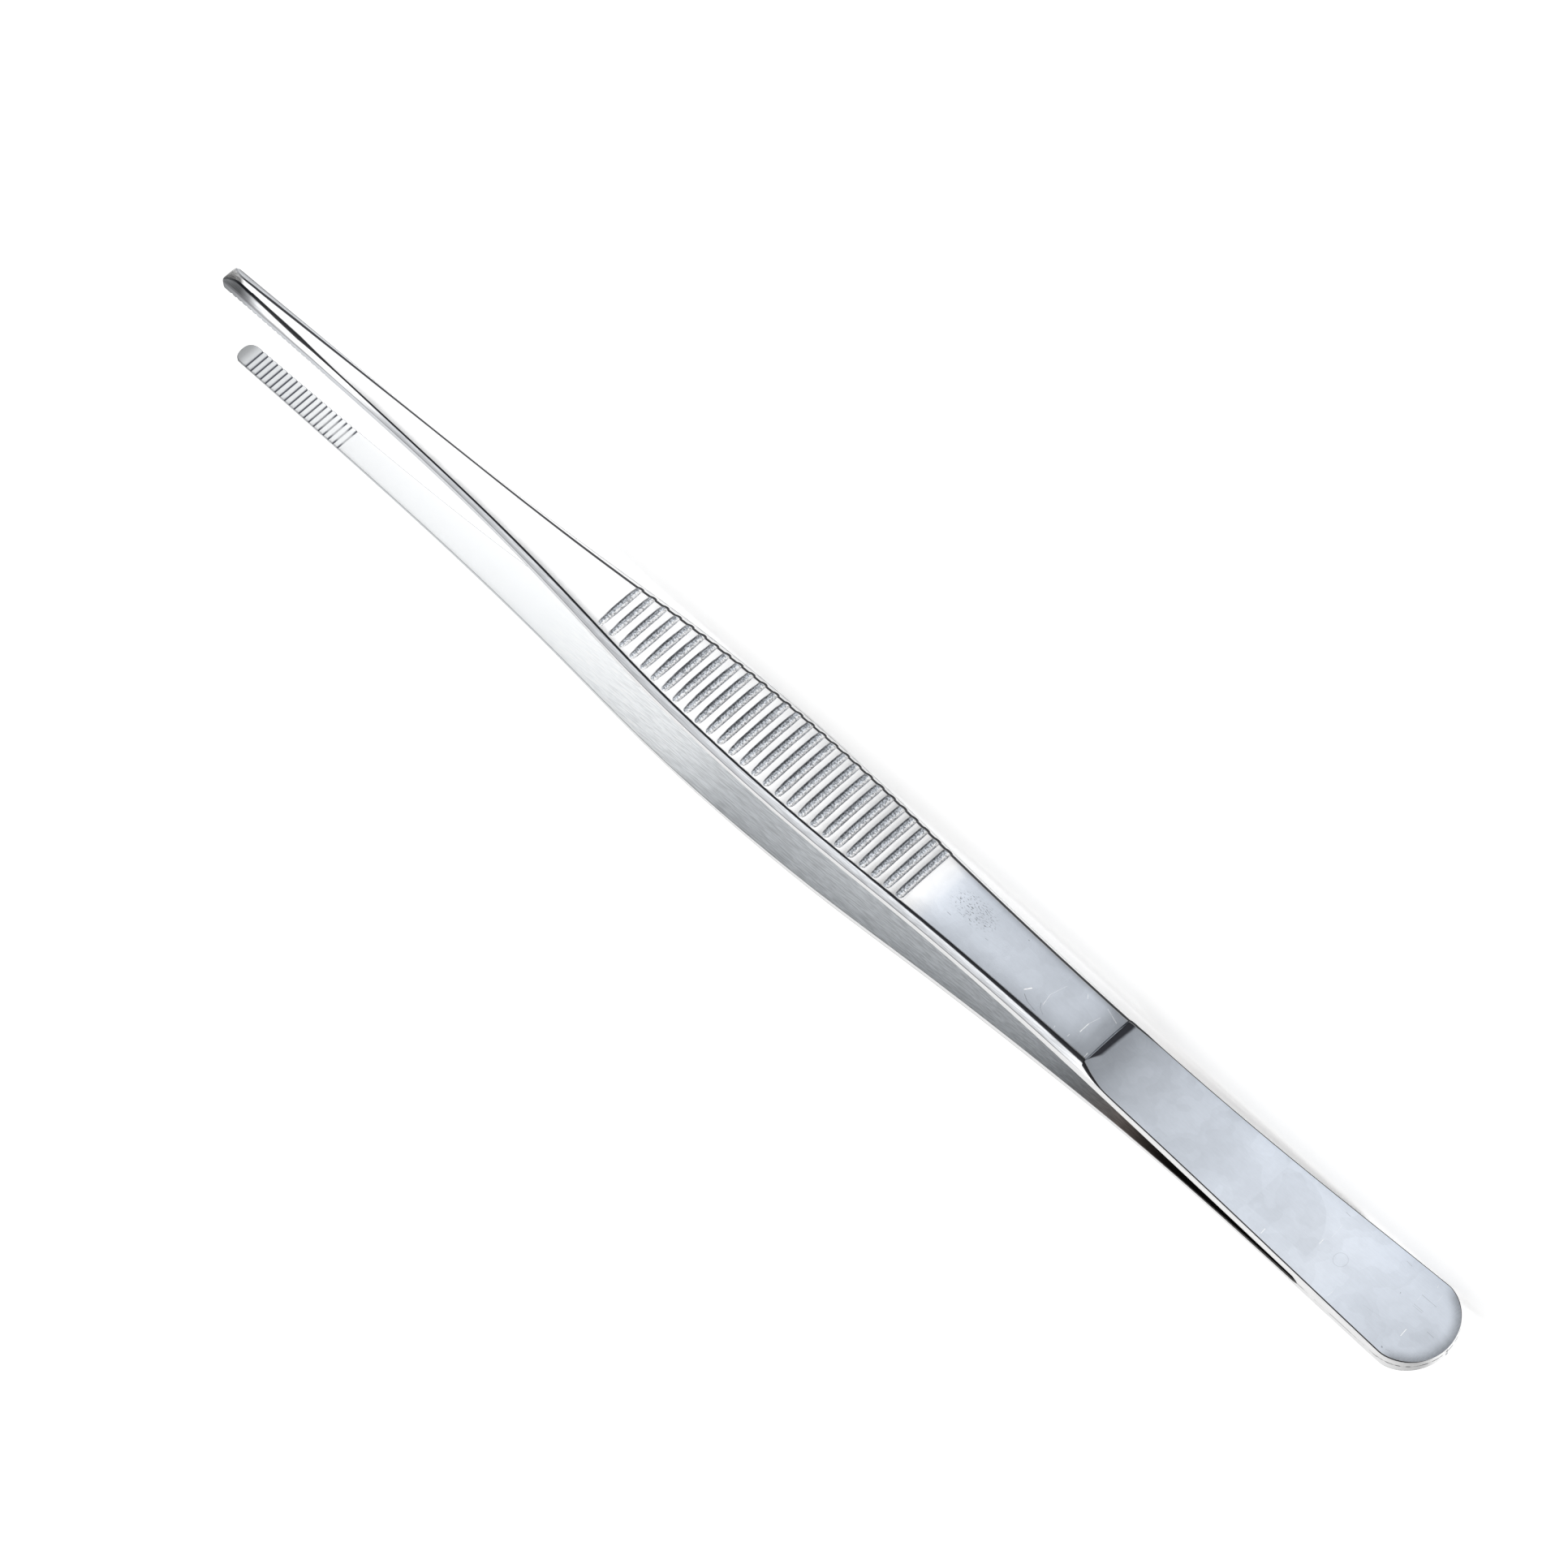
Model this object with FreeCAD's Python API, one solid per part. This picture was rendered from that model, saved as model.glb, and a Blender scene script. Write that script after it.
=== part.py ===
import FreeCAD, Part
import math
import os

# Thumb forceps: two forged arms, mirror images of each other, joined face to face at the heel.
# Sizes are in millimetres, angles in degrees.
# The arms are laid out in the weld frame: X runs from the butt to the tips, Y across, and
# Z = 0 is the plane where the two heels meet. The right arm is built over that plane and
# then mirrored, and the pair is turned to lie on its side, as it comes to rest on a table.

V = FreeCAD.Vector

# Overall: butt to tips, the length of the weld, and where the shoulder stands
LENGTH = 200.0
WELD_LENGTH = 17.9
CREST = 53.25
WELD_END_RUN = 0.9
BUTT_RUN = 5.4
BUTT_HALF_WIDTH = 5.82

# Height of the inner face over the weld plane, along the arm.
# Behind the first station the heel is flat.
HEEL_FLAT_END = 15.0
SPREAD = [(HEEL_FLAT_END, 0.33), (30, 0.76), (45, 1.6), (60, 2.9), (75, 4.2), (90, 5.2),
          (110, 6.15), (130, 7.05), (150, 7.95), (170, 8.25), (LENGTH, 8.05)]

# Half width at the parting line, along the arm
HALF_WIDTH = [(0, 5.95), (7, 5.7), (30, 4.8), (50, 4.4), (65, 4.45), (80, 4.85), (95, 5.5),
              (110, 5.6), (125, 4.95), (140, 3.55), (155, 2.42), (170, 1.8), (185, 1.49),
              (LENGTH, 1.3)]

# Thickness from the inner face to the rim of the outer face, in front of the shoulder
BLADE = [(CREST, 2.6), (75, 2.17), (95, 1.9), (120, 1.6), (150, 1.5), (LENGTH, 1.75)]
PARTING_SHARE = 0.5

# Forging draft: how far the rim of the outer face lies inside the parting line,
# and how far the inner face runs out beyond it
OUTER_DRAFT = [(CREST, 0.66), (80, 0.66), (110, 0.78), (135, 0.74), (168, 0.4),
               (185, 0.64), (195, 0.88), (LENGTH, 1.04)]
INNER_DRAFT = [(0, 0.1), (30, 0.2), (65, 0.07), (110, 0.04), (150, 0.08), (LENGTH, 0.18)]
CROWN_RADIUS = 35.0

# Heel: a thin spring plate, a hollow ramp up to the shoulder, and the cut below the shoulder's crest
PLATE = 1.25
BUTT_FALL = 0.5
BUTT_FALL_RUN = 4.5
RAMP_RUN = 4.75
RAMP_START = CREST - RAMP_RUN
RAMP_RADIUS = 11.0
CREST_CUT_RADIUS = 0.65
CREST_CUT_FAR = 0.8
CREST_CUT_NEAR = 0.3

# Finger grooves across the outer face. They run out through the far side and
# fade away before they reach the near one.
GROOVES = 27
GROOVE_FIRST = 82.8
GROOVE_PITCH = 1.923
GROOVE_RADIUS = 0.6
GROOVE_DEPTH_FAR = 0.38
GROOVE_NEAR_MARGIN = 0.3

# Serrations across the inner face of each jaw
TEETH = 20
TEETH_FIRST = LENGTH - 18.55
TEETH_PITCH = 0.863
TOOTH_WIDTH = 0.46
TOOTH_DEPTH = 0.16

# Jaw end, rounded in plan and from the side
NOSE_HALF_WIDTH = 1.5
NOSE_ROUND = 1.3
NOSE_RUN = 3.2
NOSE_LIP = 0.55

# Working room round the arm for the shapes that cut it
ROOM = 12.0
BELOW = 1.2
STATION_STEP = 8.0


def smooth(stations):
    """A natural cubic curve through the stations, straight beyond both ends."""
    xs = [float(p[0]) for p in stations]
    ys = [float(p[1]) for p in stations]
    n = len(xs)
    h = [xs[i + 1] - xs[i] for i in range(n - 1)]
    upper = [0.0] * n
    right = [0.0] * n
    for i in range(1, n - 1):
        rise = 6 * ((ys[i + 1] - ys[i]) / h[i] - (ys[i] - ys[i - 1]) / h[i - 1])
        pivot = 2 * (h[i - 1] + h[i]) - h[i - 1] * upper[i - 1]
        upper[i] = h[i] / pivot
        right[i] = (rise - h[i - 1] * right[i - 1]) / pivot
    bend = [0.0] * n
    for i in range(n - 2, 0, -1):
        bend[i] = right[i] - upper[i] * bend[i + 1]

    def slope(i, at_end):
        chord = (ys[i + 1] - ys[i]) / h[i]
        if at_end:
            return chord + h[i] * (bend[i] + 2 * bend[i + 1]) / 6
        return chord - h[i] * (2 * bend[i] + bend[i + 1]) / 6

    def value(x):
        if x <= xs[0]:
            return ys[0] + slope(0, False) * (x - xs[0])
        if x >= xs[-1]:
            return ys[-1] + slope(n - 2, True) * (x - xs[-1])
        i = max(k for k in range(n - 1) if xs[k] <= x)
        a = xs[i + 1] - x
        b = x - xs[i]
        cubic = (bend[i] * a ** 3 + bend[i + 1] * b ** 3) / (6 * h[i])
        left = (ys[i] / h[i] - bend[i] * h[i] / 6) * a
        return cubic + left + (ys[i + 1] / h[i] - bend[i + 1] * h[i] / 6) * b

    return value


spread = smooth(SPREAD)
half_width = smooth(HALF_WIDTH)
blade = smooth(BLADE)
outer_draft = smooth(OUTER_DRAFT)
inner_draft = smooth(INNER_DRAFT)


def thickness(x):
    return blade(max(x, BLADE[0][0]))


def rim(x):
    """Half width and height of the outer face's rim."""
    draft = outer_draft(max(x, OUTER_DRAFT[0][0]))
    return half_width(x) - draft, spread(x) + thickness(x)


def crown(x, y):
    """Height of the outer face over its rim, at y across the arm."""
    wide, _ = rim(x)
    return math.sqrt(CROWN_RADIUS ** 2 - y ** 2) - math.sqrt(CROWN_RADIUS ** 2 - wide ** 2)


def section(x):
    """Closed outline of the forged blank at x, reaching BELOW under the inner face."""
    wide, top = rim(x)
    part_z = spread(x) + PARTING_SHARE * thickness(x)
    part_w = half_width(x)
    under = spread(x) - BELOW
    flare = inner_draft(x) / (part_z - spread(x))
    low_w = part_w + flare * (part_z - under)
    right = [V(x, low_w, under), V(x, part_w, part_z), V(x, wide, top)]
    left = [V(x, -wide, top), V(x, -part_w, part_z), V(x, -low_w, under)]
    apex = V(x, 0, top + crown(x, 0))
    edges = [Part.makeLine(right[0], right[1]), Part.makeLine(right[1], right[2]),
             Part.Arc(right[2], apex, left[0]).toShape(),
             Part.makeLine(left[0], left[1]), Part.makeLine(left[1], left[2]),
             Part.makeLine(left[2], right[0])]
    return Part.Wire(edges)


def blank():
    """The forging before any cut: sections joined smoothly along the arm."""
    xs = spaced(-STATION_STEP, LENGTH + STATION_STEP, STATION_STEP)
    return Part.makeLoft([section(x) for x in xs], True, False)


def across(edges):
    """A prism right across the arm, from a closed outline in the XZ plane."""
    face = Part.Face(Part.Wire(edges))
    face.translate(V(0, -ROOM, 0))
    return face.extrude(V(0, 2 * ROOM, 0))


def curve(points):
    line = Part.BSplineCurve()
    line.interpolate(points)
    return line.toShape()


def chain(points):
    return [Part.makeLine(a, b) for a, b in zip(points, points[1:])]


def spaced(start, end, step):
    count = max(2, int(round((end - start) / step)))
    return [start + (end - start) * i / count for i in range(count + 1)]


def gap_cut():
    """Everything under the inner face. The heel keeps its material down to the weld plane."""
    lift_off = WELD_LENGTH + WELD_END_RUN
    inner = [V(x, 0, spread(x)) for x in spaced(lift_off, LENGTH + ROOM, 6.0)]
    far = inner[-1]
    low = -ROOM
    edges = chain([V(WELD_LENGTH, 0, 0), inner[0]]) + [curve(inner)]
    edges += chain([far, V(far.x, 0, low), V(-ROOM, 0, low), V(-ROOM, 0, 0), V(WELD_LENGTH, 0, 0)])
    return across(edges)


def plate_top(x):
    """Height of the spring plate's outer face, falling away a little towards the butt."""
    near_butt = max(0.0, BUTT_FALL_RUN - x) / BUTT_FALL_RUN
    return spread(x) + PLATE - BUTT_FALL * near_butt ** 2


def heel_cut():
    """Everything over the spring plate and over the ramp up to the shoulder."""
    butt = [V(x, 0, plate_top(x)) for x in spaced(-1.0, BUTT_FALL_RUN, 1.0)]
    spring = [V(x, 0, plate_top(x)) for x in spaced(HEEL_FLAT_END, RAMP_START, 3.0)]
    ramp = []
    for x in spaced(RAMP_START, CREST, 0.8):
        run = x - RAMP_START
        ramp.append(V(x, 0, plate_top(x) + RAMP_RADIUS - math.sqrt(RAMP_RADIUS ** 2 - run ** 2)))
    high = ROOM + ramp[-1].z
    edges = [curve(butt)] + chain([butt[-1], spring[0]]) + [curve(spring), curve(ramp)]
    edges += chain([ramp[-1], V(CREST, 0, high), V(-1.0, 0, high), butt[0]])
    return across(edges)


def cross_cutter(x, radius, far_floor, near_y, near_floor):
    """A round cutter lying across the arm, its lowest line through two floor heights."""
    wide, _ = rim(x)
    far = V(x, -wide, far_floor + radius)
    near = V(x, near_y, near_floor + radius)
    along = (near - far).normalize()
    return Part.makeCylinder(radius, 2 * ROOM, far - along * (ROOM - wide), along)


def crest_cutter():
    x = CREST - CREST_CUT_RADIUS
    wide, top = rim(x)
    return cross_cutter(x, CREST_CUT_RADIUS, top - CREST_CUT_FAR, wide, top - CREST_CUT_NEAR)


def groove_cutters():
    cutters = []
    for i in range(GROOVES):
        x = GROOVE_FIRST + i * GROOVE_PITCH
        wide, top = rim(x)
        near_y = wide - GROOVE_NEAR_MARGIN
        far_floor = top - GROOVE_DEPTH_FAR
        cutters.append(cross_cutter(x, GROOVE_RADIUS, far_floor, near_y, top + crown(x, near_y)))
    return cutters


def teeth_cutters():
    cutters = []
    for i in range(TEETH):
        x = TEETH_FIRST + i * TEETH_PITCH
        z = spread(x)
        half = TOOTH_WIDTH / 2
        under = 0.1
        wider = half * (1 + under / TOOTH_DEPTH)
        corners = [V(x - wider, 0, z - under), V(x, 0, z + TOOTH_DEPTH), V(x + wider, 0, z - under)]
        cutters.append(across(chain(corners + corners[:1])))
    return cutters


def end_cut(x_end, run, half, inward):
    """What lies outside an end that is half an ellipse in plan, run long and two halves wide.
    inward is +1 at the butt and -1 at the tip."""
    centre = V(x_end + inward * run, 0, -2 * ROOM)
    across_end = V(centre.x, half, centre.z)
    along_end = V(x_end, 0, centre.z)
    if half > run:
        outline = Part.Ellipse(across_end, along_end, centre)
    else:
        outline = Part.Ellipse(along_end, across_end, centre)
    kept = Part.Face(Part.Wire(outline.toShape())).extrude(V(0, 0, 4 * ROOM))
    corner = V(min(centre.x, x_end - inward * ROOM), -ROOM, centre.z)
    return Part.makeBox(run + ROOM, 2 * ROOM, 4 * ROOM, corner).cut(kept)


def nose_cut():
    """What lies over the jaw's end, seen from the side: a quarter of an ellipse."""
    z_low = spread(LENGTH) + NOSE_LIP
    start = LENGTH - NOSE_RUN
    z_high = rim(start)[1] + crown(start, 0)
    points = []
    for angle in spaced(0.0, 90.0, 15.0):
        turn = math.radians(angle)
        points.append(V(start + NOSE_RUN * math.sin(turn), 0, z_low + (z_high - z_low) * math.cos(turn)))
    end = LENGTH + ROOM
    top = z_high + ROOM
    edges = [curve(points)]
    edges += chain([points[-1], V(end, 0, z_low), V(end, 0, top), V(start, 0, top), points[0]])
    return across(edges)


def arm():
    """The right arm in the weld frame."""
    body = blank().cut(gap_cut()).cut(heel_cut())
    body = body.cut(end_cut(0.0, BUTT_RUN, BUTT_HALF_WIDTH, 1))
    body = body.cut(end_cut(LENGTH, NOSE_ROUND, NOSE_HALF_WIDTH, -1))
    body = body.cut(nose_cut()).cut(crest_cutter())
    body = body.cut(Part.Compound(groove_cutters()))
    body = body.cut(Part.Compound(teeth_cutters()))
    return body


def rest_tilt(balance_x):
    """Turn that makes the lower side touch the table both behind and in front of the balance."""
    sides = [(x, half_width(x) + inner_draft(x)) for x in spaced(BUTT_RUN, LENGTH, 1.0)]
    behind = [p for p in sides if p[0] < balance_x]
    ahead = [p for p in sides if p[0] > balance_x]

    def reach(pair):
        (xa, ya), (xb, yb) = pair
        return ya + (yb - ya) * (balance_x - xa) / (xb - xa)

    (xa, ya), (xb, yb) = max(((a, b) for a in behind for b in ahead), key=reach)
    return math.degrees(math.atan2(ya - yb, xb - xa))


def main():
    right = arm()
    left = right.mirror(V(0, 0, 0), V(0, 0, 1))
    balance = Part.Compound([right, left]).CenterOfGravity
    tilt = rest_tilt(balance.x)
    arms = {"right_arm": right, "left_arm": left}
    for shape in arms.values():
        shape.rotate(V(0, 0, 0), V(1, 0, 0), 90)
        shape.rotate(V(0, 0, 0), V(0, 1, 0), tilt)
    box = Part.Compound(list(arms.values())).optimalBoundingBox(False, False)
    shift = V(-box.Center.x, -box.Center.y, -box.ZMin)
    os.makedirs("parts", exist_ok=True)
    for name, shape in arms.items():
        shape.translate(shift)
        shape.exportStep("parts/" + name + ".step")


main()
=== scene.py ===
import bpy
import math
import numpy as np
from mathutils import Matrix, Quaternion, Vector


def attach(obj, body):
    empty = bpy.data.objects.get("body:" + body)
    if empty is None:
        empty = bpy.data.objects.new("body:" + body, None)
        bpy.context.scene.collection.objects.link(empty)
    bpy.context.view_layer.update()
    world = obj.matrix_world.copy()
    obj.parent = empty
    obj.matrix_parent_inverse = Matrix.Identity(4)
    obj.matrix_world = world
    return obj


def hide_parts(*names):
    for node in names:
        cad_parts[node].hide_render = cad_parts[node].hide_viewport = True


# Thumb forceps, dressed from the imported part. Arm sizes are in millimetres in the weld frame:
# x from the butt to the tips, y across the arm, z out of the plane where the heels meet.

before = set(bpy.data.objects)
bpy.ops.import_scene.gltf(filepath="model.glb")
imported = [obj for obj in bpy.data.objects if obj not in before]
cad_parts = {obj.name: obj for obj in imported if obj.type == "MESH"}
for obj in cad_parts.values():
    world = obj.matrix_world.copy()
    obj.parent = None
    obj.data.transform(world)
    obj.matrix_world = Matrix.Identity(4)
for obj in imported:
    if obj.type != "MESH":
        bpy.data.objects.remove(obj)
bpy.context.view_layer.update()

# Sizes, as in the part's source where no comment says otherwise
LENGTH = 200.0
WELD_LENGTH = 17.9
WELD_END_RUN = 0.9
BUTT_RUN = 5.4
BUTT_HALF_WIDTH = 5.82
CREST = 53.25
HEEL_FLAT_END = 15.0
SPREAD = [(HEEL_FLAT_END, 0.33), (30, 0.76), (45, 1.6), (60, 2.9), (75, 4.2), (90, 5.2),
          (110, 6.15), (130, 7.05), (150, 7.95), (170, 8.25), (LENGTH, 8.05)]
HALF_WIDTH = [(0, 5.95), (7, 5.7), (30, 4.8), (50, 4.4), (65, 4.45), (80, 4.85), (95, 5.5),
              (110, 5.6), (125, 4.95), (140, 3.55), (155, 2.42), (170, 1.8), (185, 1.49),
              (LENGTH, 1.3)]
BLADE = [(CREST, 2.6), (75, 2.17), (95, 1.9), (120, 1.6), (150, 1.5), (LENGTH, 1.75)]
PARTING_SHARE = 0.5
OUTER_DRAFT = [(CREST, 0.66), (80, 0.66), (110, 0.78), (135, 0.74), (168, 0.4),
               (185, 0.64), (195, 0.88), (LENGTH, 1.04)]
INNER_DRAFT = [(0, 0.1), (30, 0.2), (65, 0.07), (110, 0.04), (150, 0.08), (LENGTH, 0.18)]
CROWN_RADIUS = 35.0
PLATE = 1.25
BUTT_FALL = 0.5
BUTT_FALL_RUN = 4.5
RAMP_START = CREST - 4.75
RAMP_RADIUS = 11.0
CREST_CUT_RADIUS = 0.65
CREST_CUT_FAR = 0.8
CREST_CUT_NEAR = 0.3
GROOVES = 27
GROOVE_FIRST = 82.8
GROOVE_PITCH = 1.923
GROOVE_RADIUS = 0.6
GROOVE_DEPTH_FAR = 0.38
# Truer to the photograph than the source, where the grooves run out to nothing at the near end:
# depth there, how much of it the last groove lacks, the land left beside it and the turn-up's run
GROOVE_DEPTH_NEAR = 0.28
GROOVE_SHALLOWER = 0.16
GROOVE_NEAR_MARGIN = 0.2
GROOVE_END_RUN = 0.6
GRIP_START = 81.0
GRIP_END = 135.0
GRIP_HALF_WIDTH = 4.55
TEETH = 20
TEETH_FIRST = LENGTH - 18.55
TEETH_PITCH = 0.863
TOOTH_WIDTH = 0.46
TOOTH_DEPTH = 0.16
NOSE_HALF_WIDTH = 1.5
NOSE_RUN = 3.2
NOSE_LIP = 0.55
# The source rounds both corners of the nose by 1.3, on an ellipse of power 2
NOSE_ROUND_NEAR = 1.15
NOSE_ROUND_FAR = 1.75
NOSE_POWER = 2.5
# Soft corners, which the source leaves sharp
VALLEY_SOFT = 0.04
GROOVE_SOFT = 0.045
NOSE_SOFT = 0.1
CREST_EDGE_RUN = 0.18
CREST_EDGE_FALL = 0.09
# Points across the outer and the inner face in each section
OUTER_POINTS = 34
INNER_POINTS = 9

# How the weld frame lies in the part's frame
REST_TILT = math.radians(0.118)
WELD_ORIGIN = Vector((-100.0, 0.0, 5.909))

# Camera, found by laying the part's edges over the photograph's
CAMERA_PLACE = Vector((-0.404257, -0.934675, 0.346768))
CAMERA_TURN = Quaternion((-0.1738446, -0.3440232, -0.4724572, 0.7925972))
CAMERA_LENS = 212.14


def smooth(stations):
    """A natural cubic curve through the stations, straight beyond both ends."""
    xs, ys = np.array(stations, float).T
    n = len(xs)
    h = np.diff(xs)
    rows = np.eye(n)
    right = np.zeros(n)
    for i in range(1, n - 1):
        rows[i, i - 1:i + 2] = (h[i - 1], 2 * (h[i - 1] + h[i]), h[i])
        right[i] = 6 * ((ys[i + 1] - ys[i]) / h[i] - (ys[i] - ys[i - 1]) / h[i - 1])
    bend = np.linalg.solve(rows, right)
    first = (ys[1] - ys[0]) / h[0] - h[0] * (2 * bend[0] + bend[1]) / 6
    last = (ys[-1] - ys[-2]) / h[-1] + h[-1] * (bend[-2] + 2 * bend[-1]) / 6

    def value(x):
        x = np.asarray(x, float)
        at = np.clip(x, xs[0], xs[-1])
        i = np.clip(np.searchsorted(xs, at, side="right") - 1, 0, n - 2)
        a = xs[i + 1] - at
        b = at - xs[i]
        y = (bend[i] * a ** 3 + bend[i + 1] * b ** 3) / (6 * h[i])
        y = y + (ys[i] / h[i] - bend[i] * h[i] / 6) * a
        y = y + (ys[i + 1] / h[i] - bend[i + 1] * h[i] / 6) * b
        return y + first * np.minimum(x - xs[0], 0) + last * np.maximum(x - xs[-1], 0)

    return value


# Width of the rounded rims, read straight from station to station. The source leaves them sharp.
NEAR_RIM = [(0, 0.14), (50, 0.14), (53.3, 0.44), (60, 0.36), (70, 0.28), (82, 0.24), (88, 0.16),
            (180, 0.16), (184, 0.24), (188, 0.42), (193, 0.56), (LENGTH, 0.6)]
FAR_RIM = [(0, 0.14), (48, 0.16), (54, 0.34), (84, 0.32), (100, 0.24), (160, 0.24),
           (175, 0.27), (LENGTH, 0.27)]

spread = smooth(SPREAD)
half_width = smooth(HALF_WIDTH)
blade = smooth(BLADE)
outer_draft = smooth(OUTER_DRAFT)
inner_draft = smooth(INNER_DRAFT)


def thickness(x):
    return blade(np.maximum(x, CREST))


def rim_half(x):
    return half_width(x) - outer_draft(np.maximum(x, CREST))


def rim_top(x):
    return spread(x) + thickness(x)


def crown(x, y):
    """Height of the outer face over its rim."""
    wide = rim_half(x)
    y = np.clip(np.abs(y), 0, wide)
    return np.sqrt(CROWN_RADIUS ** 2 - y ** 2) - np.sqrt(CROWN_RADIUS ** 2 - wide ** 2)


def softmin(a, b, k):
    """The lower of two heights, with the corner between them rounded over k."""
    h = np.clip(0.5 + 0.5 * (b - a) / k, 0, 1)
    return b + (a - b) * h - k * h * (1 - h)


def plate_top(x):
    near_butt = np.maximum(0.0, BUTT_FALL_RUN - x) / BUTT_FALL_RUN
    return spread(x) + PLATE - BUTT_FALL * near_butt ** 2


def heel_height(x):
    run = np.clip(x - RAMP_START, 0, CREST - RAMP_START)
    return plate_top(x) + RAMP_RADIUS - np.sqrt(RAMP_RADIUS ** 2 - run ** 2)


def cutter_height(dx, radius, floor):
    """Lower half of a round cutter, far above the work where it doesn't reach."""
    inside = np.abs(dx) < radius
    under = np.sqrt(np.where(inside, radius ** 2 - dx ** 2, 0))
    return np.where(inside, floor + radius - under, floor + radius + 50 * (np.abs(dx) - radius))


def on_grip(x):
    return (x > GRIP_START) & (x < GRIP_END)


def groove_height(x, y):
    """Height of the nearest finger groove's wall at each point."""
    i = np.clip(np.round((x - GROOVE_FIRST) / GROOVE_PITCH), 0, GROOVES - 1)
    at = GROOVE_FIRST + i * GROOVE_PITCH
    wide = rim_half(at)
    near_y = wide - GROOVE_NEAR_MARGIN
    shallower = GROOVE_SHALLOWER * i / GROOVES
    near_depth = GROOVE_DEPTH_NEAR - shallower
    far_floor = rim_top(at) - GROOVE_DEPTH_FAR + shallower
    near_floor = rim_top(at) + crown(at, near_y) - near_depth
    share = (y + wide) / (near_y + wide)
    run_out = np.maximum(0, y - near_y + GROOVE_END_RUN) / GROOVE_END_RUN
    floor = far_floor + (near_floor - far_floor) * share + near_depth * run_out ** 2
    return cutter_height(x - at, GROOVE_RADIUS, floor)


def outer_height(x, y):
    """Height of the outer face before its rims are rounded."""
    z = rim_top(x) + crown(x, y)
    heel = heel_height(x)
    at = CREST - CREST_CUT_RADIUS
    wide = rim_half(at)
    floor_far = rim_top(at) - CREST_CUT_FAR
    floor_near = rim_top(at) - CREST_CUT_NEAR
    floor = floor_far + (floor_near - floor_far) * (y + wide) / (2 * wide)
    valley = cutter_height(x - at, CREST_CUT_RADIUS, floor)
    heel = np.where(x > at - CREST_CUT_RADIUS, softmin(heel, valley, VALLEY_SOFT), heel)
    behind = x < CREST - 0.001
    z = np.where(behind, np.minimum(z, heel), z)
    edge = np.clip(1 - (x - CREST) / CREST_EDGE_RUN, 0, 1)
    z = z - np.where(behind, 0, CREST_EDGE_FALL * (1 - np.sqrt(1 - edge ** 2)))
    z = np.where(on_grip(x), softmin(z, groove_height(x, y), GROOVE_SOFT), z)
    start = LENGTH - NOSE_RUN
    low = spread(LENGTH) + NOSE_LIP
    high = rim_top(start) + crown(start, 0.0)
    fall = np.clip((x - start) / NOSE_RUN, 0, 1)
    nose = low + (high - low) * np.sqrt(1 - fall ** 2)
    return np.where(x > start - 1.5, softmin(z, nose, NOSE_SOFT), z)


def inner_height(x, y):
    """Height of the inner face: the weld land, the gap and the jaw serrations."""
    lift = spread(WELD_LENGTH + WELD_END_RUN)
    z = np.clip((x - WELD_LENGTH) / WELD_END_RUN, 0, 1) * lift
    z = np.where(x > WELD_LENGTH + WELD_END_RUN, spread(x), z)
    i = np.clip(np.round((x - TEETH_FIRST) / TEETH_PITCH), 0, TEETH - 1)
    dx = np.abs(x - TEETH_FIRST - i * TEETH_PITCH)
    notch = np.clip(1 - dx / (TOOTH_WIDTH / 2), 0, 1) * TOOTH_DEPTH
    return z + np.where(x > TEETH_FIRST - 1, notch, 0)


def side_half(x, z, side):
    """Half width of the arm at a height: drafted sides, the parting line and the rounded ends.
    side is +1 for the near side and -1 for the far one."""
    nose_round = NOSE_ROUND_NEAR if side > 0 else NOSE_ROUND_FAR
    part_z = spread(x) + PARTING_SHARE * thickness(x)
    part_w = half_width(x)
    flare = inner_draft(x) / (part_z - spread(x))
    low = part_w + flare * (part_z - z)
    share = (z - part_z) / (rim_top(x) - part_z)
    w = np.where(z < part_z, low, part_w - (part_w - rim_half(x)) * share)
    back = np.clip((BUTT_RUN - x) / BUTT_RUN, 0, 1)
    butt = np.where(x < BUTT_RUN, BUTT_HALF_WIDTH * np.sqrt(1 - back ** 2), 99.0)
    ahead = np.clip((x - LENGTH + nose_round) / nose_round, 0, 1)
    blunt = (1 - ahead ** NOSE_POWER) ** (1 / NOSE_POWER)
    nose = np.where(ahead > 0, NOSE_HALF_WIDTH * blunt, 99.0)
    return np.minimum(w, np.minimum(butt, nose))


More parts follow.
